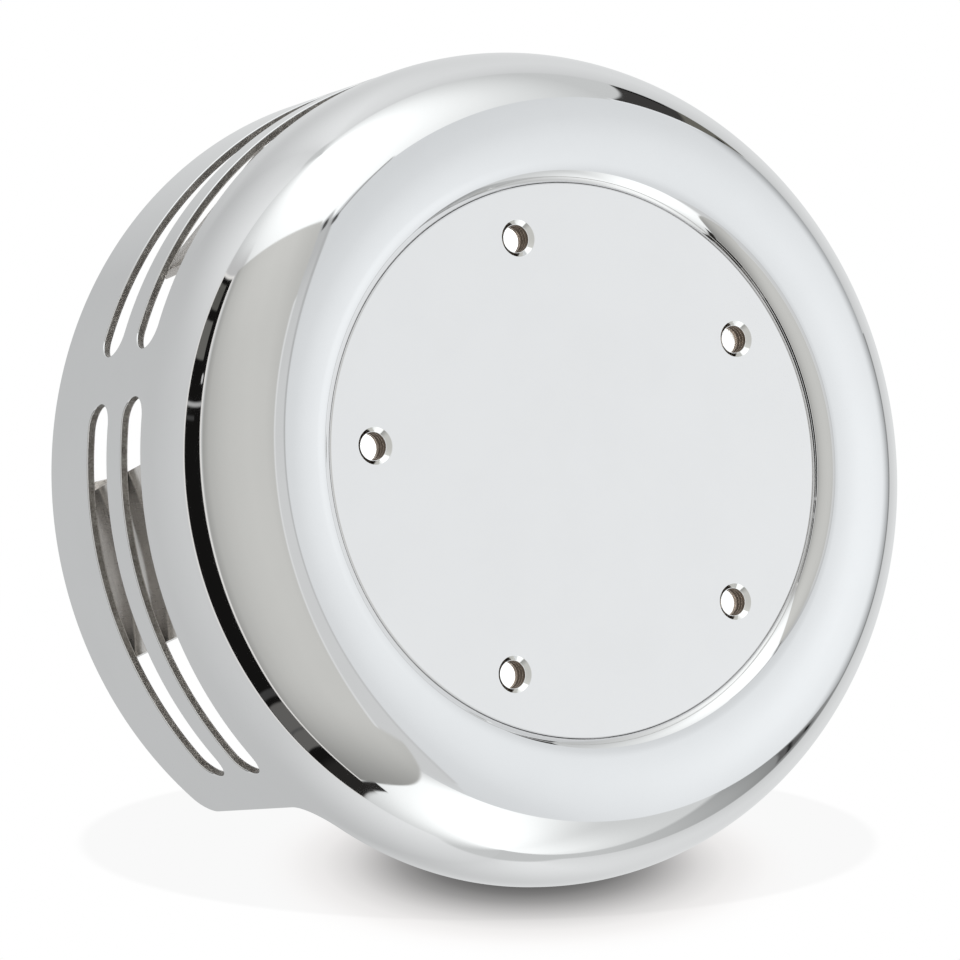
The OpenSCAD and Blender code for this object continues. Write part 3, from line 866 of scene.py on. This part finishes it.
def edge_rows(thickness, rounding, steps=4):
    """Rounded section of a cut sheet edge: inset, depth, and normal's outward and void parts."""
    a = np.radians(np.linspace(0, 90, steps + 1))
    turn = np.stack([rounding * (1 - np.sin(a)), rounding * (1 - np.cos(a)),
                     np.cos(a), np.sin(a)], axis=-1)
    under = turn[::-1] * [1, -1, -1, 1] + [0, thickness, 0, 0]
    return turn, np.stack([turn[-1], under[0]]), under


def build_cover(materials):
    """The spun cover: slotted skirt, rounded shoulder, crown and turned-in lip."""
    skin = Skin()
    plated, cut, inside = range(3)
    top_row = np.stack([np.arange(SEAM, SEAM + FULL_TURN + 1) * ARC_MM,
                        np.full(FULL_TURN + 1, SKIRT_TOP)], axis=-1)
    paths = [rim_path()] + [slot_loop(*place_) for place_ in SLOTS]
    places, triangles = skirt_sheet(paths, top_row)
    angle, height = places[:, 0] / ARC_MM, places[:, 1]
    for radius, facing, slot in ((COVER_R, 1, plated), (COVER_R - SHEET, -1, inside)):
        skin.add(place(radius, angle, height), direct(facing, angle, 0.0), triangles, slot)

    for number, path in enumerate(paths):
        for rows, slot in zip(edge_rows(SHEET, EDGE), (plated, cut, inside)):
            moved = np.stack([inset(path, row[0]) for row in rows])
            angle = moved[..., 0] / ARC_MM
            points = place(COVER_R - rows[:, 1, None], angle, moved[..., 1])
            void_u, void_h = path[None, :, 2], path[None, :, 3]
            normals = direct(rows[:, 2, None], angle, rows[:, 3, None] * void_h,
                             rows[:, 3, None] * void_u)
            skin.grid(points, normals, closed=number > 0, slot=slot)

    low = FACE_BACK + FLANGE_T
    profiles = []
    for inset_, facing in ((0.0, 1), (SHEET, -1)):
        wall = OPEN_R + inset_
        lip_end = -math.degrees(math.asin((lip_x - wall) / (LIP_R - inset_)))
        shoulder = arc(shoulder_centre, SHOULDER_R - inset_, 90, crown_tilt, 70, facing)
        lip = arc(lip_centre, LIP_R - inset_, crown_tilt, lip_end, 24, facing)
        start = line((COVER_R - inset_, SKIRT_TOP), shoulder[0, :2], (facing, 0))
        end = line((wall, lip[-1, 1]), (wall, low), (-facing, 0))
        profiles.append(np.concatenate([start[:1], shoulder, lip[1:], end]))
    outer, inner = profiles
    skin.lathe(outer, ROUND, plated)
    skin.lathe(inner, ROUND, inside)
    skin.lathe(line((OPEN_R, low), (OPEN_R + SHEET, low), (0, -1)), ROUND, cut)
    return skin.build("cover_shell_spun", "cover", materials, "cover_shell")


# ---------------------------------------------------------------- face plate

def holed_disc(skin, height, facing, reach, rim, holes, hole_r, ring):
    """Flat disc with round holes, filled with evenly sized triangles."""
    loops = [place(reach, rim, 0.0)[:, [0, 2]]]
    loops += [hole + place(hole_r, ring, 0.0)[:, [0, 2]] for hole in holes]

    def clear(points, gap):
        away = [np.linalg.norm(points - hole, axis=1) > hole_r + gap for hole in holes]
        return np.all(away, axis=0)

    steps = np.arange(-reach, reach, DISC_GRID)
    inner = np.stack(np.meshgrid(steps, steps), axis=-1).reshape(-1, 2)
    inner = inner[np.linalg.norm(inner, axis=1) < reach - DISC_GRID / 2]
    inner = inner[clear(inner, DISC_GRID / 3)]
    places, triangles = filled(loops, inner, lambda middles: clear(middles, 0.0))
    points = np.stack([places[:, 0], np.full(len(places), -height), places[:, 1]], axis=-1)
    skin.add(points, np.broadcast_to([0, -facing, 0], points.shape), triangles)


def build_face(materials):
    """Recessed disc with five countersunk and tapped holes."""
    skin = Skin()
    plate, sink, thread = range(3)
    rim_r = OPEN_R - FACE_CLEARANCE
    flat_r = rim_r - FACE_ROUNDING
    ring = np.linspace(0, 360, 48, endpoint=False)
    holes = [place(HOLE_CIRCLE_R, a, 0.0)[[0, 2]] for a in HOLE_ANGLES]
    holed_disc(skin, FACE_TOP, 1, flat_r, FINE_TURN, holes, SINK_R + SINK_ROUNDING, ring)
    holed_disc(skin, FACE_BACK, -1, FLANGE_R, FINE_TURN, holes, HOLE_R, ring)

    flange = FACE_BACK + FLANGE_T
    side = arc((flat_r, FACE_TOP - FACE_ROUNDING), FACE_ROUNDING, 0, 90, 4)
    wall = line((rim_r, FACE_TOP - FACE_ROUNDING), (rim_r, flange), (1, 0))
    skin.lathe(np.concatenate([side, wall[1:]]), FINE_TURN, plate)
    skin.lathe(line((rim_r, flange), (FLANGE_R, flange), (0, 1)), FINE_TURN, plate)
    skin.lathe(line((FLANGE_R, flange), (FLANGE_R, FACE_BACK), (1, 0)), FINE_TURN, plate)

    slope = math.sqrt(0.5)
    thread_top = FACE_TOP - (SINK_R - HOLE_R)
    mouth_r = HOLE_R + 0.1
    mouth = arc((SINK_R + SINK_ROUNDING, FACE_TOP - SINK_ROUNDING), SINK_ROUNDING, 0, -45, 3)
    cone = line((SINK_R, FACE_TOP - 1.2 * SINK_ROUNDING), (mouth_r, thread_top), (-slope, slope), 4)
    for angle in HOLE_ANGLES:
        centre = (HOLE_CIRCLE_R, angle)
        skin.lathe(np.concatenate([mouth, cone[1:]]), ring, sink, centre)
        skin.lathe(line((mouth_r, thread_top), (HOLE_R, thread_top), (0, 1)), ring, sink, centre)
        skin.lathe(ridges(HOLE_R, thread_top, FACE_BACK, THREAD_PITCH, THREAD_DEPTH, -1, 0.16, 0.34),
                   ring, thread, centre)
    return skin.build("face_plate_disc", "cover", materials, "face_plate")


# ---------------------------------------------------------------- inner pieces

# Levels and circles of the inner pieces, as in the CAD source: the plate's underside, the seat
# on it, the filter's foot seal, nuts, posts, and the tips of screws
PLATE_Z, SEAT_Z = 8.0, 12.0
SEAL_TOP, NUT_TOP, POST_TOP = 18.0, 19.0, 54.5
CAP_SCREW_TIP, INTAKE_SCREW_TIP = 42.5, -12.0
WASHER_T, RING_T = 1.2, 3.0
EAR_R, EAR_ANGLES = 85.5, (2.6, 90.0, 177.4)
POST_R, POST_ANGLES = 44.0, (90.0, 210.0, 330.0)
INTAKE_R, BREATHER_ANGLES = 31.5, (30.0, 150.0)
CAP_Z, CAP_TOP = 56.0, 63.0
SEAL_R, OUTER_MESH_R, INNER_MESH_R = 71.5, 70.5, 51.9
PLEATS, PLEAT_DEPTH, CLOTH_HALF = 48, 15.0, 0.28
STRANDS, STRAND_LEAN, STRAND_HALF, STRAND_T = 84, 34.0, 0.42, 0.3
BAND_HALF, BAND_H = 0.38, 0.9

# Socket-head screws: head radius and height, socket across flats, shank radius
M6_SCREW = (5.0, 4.2, 4.0, 2.9)
M6_LOW_SCREW = (4.6, 4.0, 4.0, 2.9)
M5_SCREW = (4.6, 3.0, 3.0, 2.4)


def rounded(corners, radius, steps=3, closed=True):
    """Rows through corners (radius, height) with each corner rounded; material on the left."""
    corners = [np.array(c, float) for c in corners]
    rows, count = [], len(corners)
    for k, here in enumerate(corners):
        into = here - corners[k - 1]
        away = corners[(k + 1) % count] - here
        before, after = np.hypot(*into), np.hypot(*away)
        into, away = into / before, away / after
        bend = math.atan2(into[0] * away[1] - into[1] * away[0], into @ away)
        normal = np.array([into[1], -into[0]])
        half = abs(math.tan(bend / 2))
        r = min(radius, 0.45 * min(before, after) / max(half, 1e-6)) if abs(here[0]) > 1e-6 else 0.0
        side = math.copysign(1.0, bend)
        centre = here - into * r * half - side * r * normal
        for part in np.linspace(0, bend, steps + 1):
            turned = np.array([normal[0] * math.cos(part) - normal[1] * math.sin(part),
                               normal[0] * math.sin(part) + normal[1] * math.cos(part)])
            rows.append([*(centre + side * r * turned), *turned])
    return np.array(rows + rows[:1] if closed else rows)


def knurl(skin, centre, radius, top, low, count, depth, slot):
    """Side of a head with rounded ridges along its axis."""
    angle = np.linspace(0, 360, count * 8, endpoint=False)
    phase = np.radians(angle * count)
    r = radius - depth * (1 - np.cos(phase)) / 2
    slope = -depth * count * np.sin(phase) / 2 / r
    levels = np.array([top, low])[:, None]
    points = place(r[None, :], angle[None, :], levels) + place(*centre, 0.0)
    normals = direct(1.0, angle[None, :], 0.0, -slope[None, :] * np.ones_like(levels))
    skin.grid(points, normals, slot=slot)


def hex_radius(angle, flats):
    """Radius of a hexagon with this size across flats, at angles in degrees."""
    return flats / 2 / np.cos(np.radians(np.mod(angle + 30, 60) - 30))


def hex_walls(skin, centre, flats, top, low, facing, slot):
    """Six flat walls of a hexagon."""
    for k in range(6):
        ends = np.array([k * 60 - 30, k * 60 + 30])
        points = place(flats / math.sqrt(3), ends[None, :], np.array([top, low])[:, None])
        normals = np.broadcast_to(direct(facing, k * 60.0, 0.0), points.shape)
        skin.grid(points + place(*centre, 0.0), normals, closed=False, slot=slot)


def cap_screw(skin, centre, seat, facing, head_r, head_h, flats, shank, tip):
    """Socket-head screw: head on seat, shank from seat to tip against facing."""
    head, socket, thread = range(3)
    chamfer, bevel, slope = 0.45, 0.4, 0.7
    side = head_r - 0.04
    top = seat + facing * head_h
    above, below = top - facing * chamfer, seat + facing * bevel
    knurl(skin, centre, side, below, above, 30, 0.22, head)
    for start, end, normal in (
            ((side, above), (head_r - chamfer, top), (slope, slope * facing)),
            ((side, below), (head_r - bevel, seat), (slope, -slope * facing)),
            ((head_r - bevel, seat), (shank, seat), (0, -facing))):
        skin.lathe(line(start, end, normal), TURN, head, centre)

    mouth = hex_radius(HEX_TURN, flats)
    depth = top - facing * head_h * 0.6
    shift = place(*centre, 0.0)
    points = np.stack([place(r, HEX_TURN, top) for r in (head_r - chamfer, mouth)]) + shift
    skin.grid(points, np.broadcast_to([0, -facing, 0], points.shape), slot=head)
    hex_walls(skin, centre, flats, top, depth, -1, socket)
    points = np.stack([place(mouth, HEX_TURN, depth), place(0.0, HEX_TURN, depth - facing * 0.3)])
    skin.grid(points + shift, np.broadcast_to([0, -facing, 0], points.shape), slot=socket)

    inner = tip + facing * 0.5
    point_r = shank - 0.4
    skin.lathe(ridges(shank, max(seat, inner), min(seat, inner), 0.8, 0.4, 1), TURN, thread, centre)
    skin.lathe(line((shank, inner), (point_r, tip), (slope, -slope * facing)), TURN, thread, centre)
    skin.lathe(line((point_r, tip), (0.0, tip), (0, -facing)), TURN, thread, centre)


def hollow_bolt(skin, centre):
    """Breather bolt: drilled hexagon head on the plate, and a thread below the plate."""
    bore, shank, flats, face_r = 2.5, 5.0, 12.0, 5.8
    top, edge, thread_end, tip = 17.5, 16.9, -15.2, -16.0
    corner, point_r = hex_radius(HEX_TURN, flats), 4.4
    hex_walls(skin, centre, flats, edge, SEAT_Z, 1, 0)
    for inner, outer, level, other, out, ahead in (
            (bore, face_r, top, top, 0.0, 1.0), (face_r, corner, top, edge, 0.4, 0.9),
            (shank, corner, SEAT_Z, SEAT_Z, 0.0, -1.0)):
        points = np.stack([place(inner, HEX_TURN, level), place(outer, HEX_TURN, other)])
        normals = np.broadcast_to(direct(out, HEX_TURN, ahead), points.shape)
        skin.grid(points + place(*centre, 0.0), normals)
    skin.lathe(ridges(shank, 0.0, thread_end, THREAD_PITCH, 0.6, 1), TURN, 1, centre)
    for start, end, normal in (
            ((shank, SEAT_Z), (shank, 0.0), (1, 0)), ((bore, top), (bore, tip), (-1, 0)),
            ((shank, thread_end), (point_r, tip), (0.8, -0.6)),
            ((point_r, tip), (bore, tip), (0, -1))):
        skin.lathe(line(start, end, normal), TURN, 0, centre)


def band(inner, outer, low, height):
    """Corners of a rectangular half section."""
    return [(inner, low), (outer, low), (outer, low + height), (inner, low + height)]


def ring_piece(name, body, node, slot, material, centres, corners, rounding, fine=False):
    """Turned piece with a closed half section, repeated on its centres."""
    skin = Skin()
    for centre in centres:
        skin.lathe(rounded(corners, rounding), FINE_TURN if fine else TURN, 0, centre)
    return skin.build(name, body, [material], node)


def build_pleats(material):
    """Pleated gauze with rounded folds and slightly uneven pleats."""
    middle = (INNER_MESH_R + OUTER_MESH_R) / 2
    jitter = np.random.default_rng(7).normal(0, 0.16, 2 * PLEATS)
    corners = []
    for k in range(2 * PLEATS):
        angle = math.radians(k * 180 / PLEATS + jitter[k])
        r = middle + (1 if k % 2 == 0 else -1) * (PLEAT_DEPTH / 2 + 0.3)
        corners.append((r * math.cos(angle), r * math.sin(angle)))
    path = rounded(corners, 0.9, 5, closed=False)
    levels = np.linspace(SEAL_TOP, CAP_Z, 14)
    skin = Skin()
    wave = 0.12 * np.sin(levels[:, None] * 0.5 + np.arange(len(path)) * 0.7)
    sheets = []
    for side in (1, -1):
        flat = path[None, :, :2] + path[None, :, 2:] * (CLOTH_HALF * side + wave[..., None])
        points = np.stack([flat[..., 0], np.broadcast_to(-levels[:, None], wave.shape),
                           flat[..., 1]], axis=-1)
        normals = np.stack([path[:, 2], np.zeros(len(path)), path[:, 3]], axis=-1) * side
        skin.grid(points, np.broadcast_to(normals, points.shape))
        sheets.append(points)
    for row, way in ((0, 1), (-1, -1)):
        strip = np.stack([sheets[0][row], sheets[1][row]])
        skin.grid(strip, np.broadcast_to([0, way, 0], strip.shape))
    return skin.build("filter_media_gauze", "filter", [material], "filter_media")


def build_mesh(name, node, radius, material):
    """Expanded-metal tube: two families of flat slanted strands."""
    skin = Skin()
    low, high = SEAL_TOP, CAP_Z
    levels = np.linspace(low, high, 13)
    wide = math.degrees(STRAND_HALF / radius)
    for family in (-1, 1):
        inner, outer = radius + family * 0.06 - STRAND_T, radius + family * 0.06 + STRAND_T
        section = [(outer, wide), (outer, -wide), (inner, -wide), (inner, wide)]
        ways = [(1, 0), (0, -1), (-1, 0), (0, 1)]
        for k in range(STRANDS):
            middle = k * 360 / STRANDS + family * STRAND_LEAN * (levels - low) / (high - low)
            for (r0, w0), (r1, w1), (out, around) in zip(section, section[1:] + section[:1], ways):
                points = np.stack([place(r0, middle + w0, levels), place(r1, middle + w1, levels)])
                normals = direct(out, middle, 0.0, around)
                skin.grid(points, np.broadcast_to(normals, points.shape), closed=False)
    for level in (low, high - BAND_H):
        edge = band(radius - BAND_HALF, radius + BAND_HALF, level, BAND_H)
        skin.lathe(rounded(edge, 0.1), FINE_TURN)
    return skin.build(name, "filter", [material], node)


def build_end_cap(material):
    """Moulded end cap: rounded rim, shallow ring grooves and three screw holes."""
    skin = Skin()
    hole_r, bead, soft = 2.8, 3.0, 0.9
    grooves = (55.0, SEAL_R - 6.1)
    ring = np.linspace(0, 360, 36, endpoint=False)
    holes = [place(POST_R, a, 0.0)[[0, 2]] for a in POST_ANGLES]
    holed_disc(skin, CAP_TOP, 1, grooves[0] - soft, FINE_TURN, holes, hole_r, ring)
    holed_disc(skin, CAP_Z, -1, SEAL_R, FINE_TURN, holes, hole_r, ring)
    rows = []
    for groove_r in grooves:
        rows += [arc((groove_r - soft, CAP_TOP - soft), soft, 0, 60, 4),
                 arc((groove_r + 0.66, CAP_TOP - soft), soft, -60, 0, 4)]
    rows += [arc((SEAL_R - bead, CAP_TOP - bead), bead, 0, 90, 10),
             line((SEAL_R, CAP_TOP - bead), (SEAL_R, CAP_Z), (1, 0))]
    skin.lathe(np.concatenate(rows), FINE_TURN)
    for angle in POST_ANGLES:
        skin.lathe(line((hole_r, CAP_TOP), (hole_r, CAP_Z), (-1, 0), 2), ring, 0, (POST_R, angle))
    return skin.build("filter_end_cap_moulded", "filter", [material], "filter_end_cap")


def build_inner_pieces(look):
    """Screws, nuts, washers, posts, seals, pleats and meshes."""
    ears = [(EAR_R, a) for a in EAR_ANGLES]
    posts = [(POST_R, a) for a in POST_ANGLES]
    intakes = [(INTAKE_R, a) for a in POST_ANGLES]
    breathers = [(POST_R, a) for a in BREATHER_ANGLES]
    screw = [look["steel"], look["socket"], look["thread"]]

    skin = Skin()
    for centre in ears:
        cap_screw(skin, centre, PLATE_Z - WASHER_T, -1, *M6_SCREW, NUT_TOP)
    skin.build("cover_screws_turned", "cover_fixings", screw, "cover_screws")
    skin = Skin()
    for centre in posts:
        cap_screw(skin, centre, CAP_TOP + WASHER_T, 1, *M5_SCREW, CAP_SCREW_TIP)
    skin.build("cap_screws_turned", "cap_fixings", screw, "cap_screws")
    skin = Skin()
    for centre in intakes:
        cap_screw(skin, centre, SEAT_Z + RING_T, 1, *M6_LOW_SCREW, INTAKE_SCREW_TIP)
    black = [look["black"], look["socket"], look["thread"]]
    skin.build("plate_screws_turned", "base", black, "plate_screws")

    washer = ("screw_steel", look["steel"])
    ring_piece("cover_washers_turned", "cover_fixings", "cover_washers", *washer, ears,
               band(3.4, 6.2, PLATE_Z - WASHER_T, WASHER_T), 0.2)
    ring_piece("cap_washers_turned", "cap_fixings", "cap_washers", *washer, posts,
               band(2.8, 6.5, CAP_TOP, WASHER_T), 0.2)
    ring_piece("breather_seals", "base", "breather_orings", "seal_rubber", look["rubber"],
               breathers, band(5.3, 7.0, 0.0, 1.5), 0.6)

    skin = Skin()
    for centre in ears:
        body = [(3.0, NUT_TOP), (3.0, 12.0), (4.0, 12.0), (4.0, 14.0), (5.2, 14.0), (5.2, NUT_TOP)]
        rows = rounded(body, 0.35, closed=False)
        skin.lathe(np.concatenate([rows[4:], rows[:4]]), TURN, 0, centre)
        skin.lathe(ridges(3.0, 18.6, 12.4, 1.0, 0.45, -1), TURN, 1, centre)
    skin.build("clinch_nuts_turned", "cover", [look["zinc"], look["thread"]], "clinch_nuts")

    skin = Skin()
    for centre in posts:
        body = [(2.5, POST_TOP), (2.5, 38.5), (0.0, 37.5), (0.0, PLATE_Z), (2.4, PLATE_Z),
                (2.4, SEAT_Z), (4.0, SEAT_Z), (4.0, 15.0), (3.7, 15.6), (3.7, 50.0), (4.0, 50.6),
                (4.0, POST_TOP)]
        skin.lathe(rounded(body, 0.4), TURN, 0, centre)
    skin.build("cap_posts_turned", "base", [look["zinc"]], "cap_posts")

    skin = Skin()
    for centre in breathers:
        hollow_bolt(skin, centre)
    skin.build("breather_bolts_turned", "base", [look["zinc"], look["thread"]],
               "breather_bolts")

    flare = (33.0, 18.0)
    bell = [(21.0, SEAT_Z), (37.5, SEAT_Z), (37.5, SEAT_Z + RING_T), (23.0, SEAT_Z + RING_T),
            (23.0, flare[1])]
    bell += arc(flare, 10.0, -90, 0, 12)[1:, :2].tolist()
    bell += arc(flare, 12.0, 0, -90, 14)[:, :2].tolist()
    ring_piece("velocity_ring_turned", "base", "velocity_ring", "turned_alloy", look["turned"],
               [(0.0, 0.0)], bell, 0.6, fine=True)
    groove_r = SEAL_R - 0.7
    foot = [(50.5, SEAT_Z), (SEAL_R, SEAT_Z), (SEAL_R, 13.8), (groove_r, 14.3), (groove_r, 15.7),
            (SEAL_R, 16.2), (SEAL_R, SEAL_TOP), (50.5, SEAL_TOP)]
    ring_piece("filter_base_moulded", "filter", "filter_base_seal", "seal_rubber", look["rubber"],
               [(0.0, 0.0)], foot, 0.5, fine=True)
    build_pleats(look["gauze"])
    build_mesh("filter_outer_strands", "filter_outer_mesh", OUTER_MESH_R, look["mesh"])
    build_mesh("filter_inner_strands", "filter_inner_mesh", INNER_MESH_R, look["mesh"])
    build_end_cap(look["urethane"])


# ---------------------------------------------------------------- assembly

def paint(node, material, width):
    """Give a CAD node one material and rounded edges."""
    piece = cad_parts[node]
    piece.data.materials.clear()
    piece.data.materials.append(material)
    edges = piece.modifiers.new("rounded_edges", "BEVEL")
    edges.width = width * MM
    edges.segments = 2
    edges.limit_method = "ANGLE"
    edges.angle_limit = math.radians(40)
    edges.harden_normals = True


bpy.context.scene.view_settings.view_transform = "Standard"
bpy.context.scene.view_settings.look = "None"

chrome_cover = chrome("cover_chrome", (PLATING, PLATING, PLATING * 1.002))
chrome_face = chrome("face_chrome", (PLATING * 1.0, PLATING * 0.99, PLATING * 0.985), 0.04)
chrome_sink = chrome("sink_chrome", (0.88, 0.88, 0.87), 0.08, 0.0)
inner_nickel = brushed("inner_nickel", (0.72, 0.70, 0.68), 0.30, 0.8)
dark_thread = brushed("dark_thread", (0.20, 0.16, 0.13), 0.45)
edge = cut_edge()

build_cover([chrome_cover, edge, inner_nickel])
build_face([chrome_face, chrome_sink, dark_thread])

nickel = brushed("bracket_nickel", (0.78, 0.75, 0.72), 0.16, 0.85, (1, 6, 1), 220.0, 0.00001)
cast = matt("cast_alloy", (0.46, 0.46, 0.47), 0.48, 900.0, 0.00015, 0.2)
build_inner_pieces({
    "steel": brushed("screw_steel", (0.74, 0.75, 0.77), 0.28),
    # Darker steel for the hex sockets: painted shade in the recess of the steel screws; in the black
    # screws it comes out lighter than the head
    "socket": brushed("socket_shade", (0.30, 0.30, 0.31), 0.45),
    "thread": brushed("thread_steel", (0.62, 0.62, 0.62), 0.35),
    "black": matt("black_screw", (0.03, 0.03, 0.032), 0.38, 700.0, 0.00003),
    "zinc": brushed("zinc", (0.74, 0.73, 0.68), 0.3),
    "turned": brushed("turned_alloy", (0.78, 0.79, 0.80), 0.22, 1.0, (1, 14, 1), 260.0, 0.00002),
    "rubber": matt("seal_rubber", (0.035, 0.036, 0.042), 0.6),
    "gauze": gauze(),
    "mesh": brushed("mesh_wire", (0.70, 0.71, 0.72), 0.33),
    "urethane": matt("cap_urethane", (0.90, 0.90, 0.88), 0.5, spread=0.06),
})
for node, material, width in (
        ("cover_brackets", nickel, 0.3), ("slot_straps", nickel, 0.3), ("backing_plate", cast, 0.5),
        ("intake_gasket", matt("gasket_paper", (0.09, 0.09, 0.09), 0.8), 0.15),
        ("filter_cap_plate", brushed("cap_plate_steel", (0.66, 0.67, 0.69), 0.3), 0.2)):
    paint(node, material, width)

studio_world()
normal = floor_normal()
reach = math.hypot(normal.x, normal.z)
lowest = -(reach * COVER_R + normal.y * CUTAWAY_DEPTH) * MM
add_floor(normal, lowest - 0.0005)
add_lamp()
add_camera()
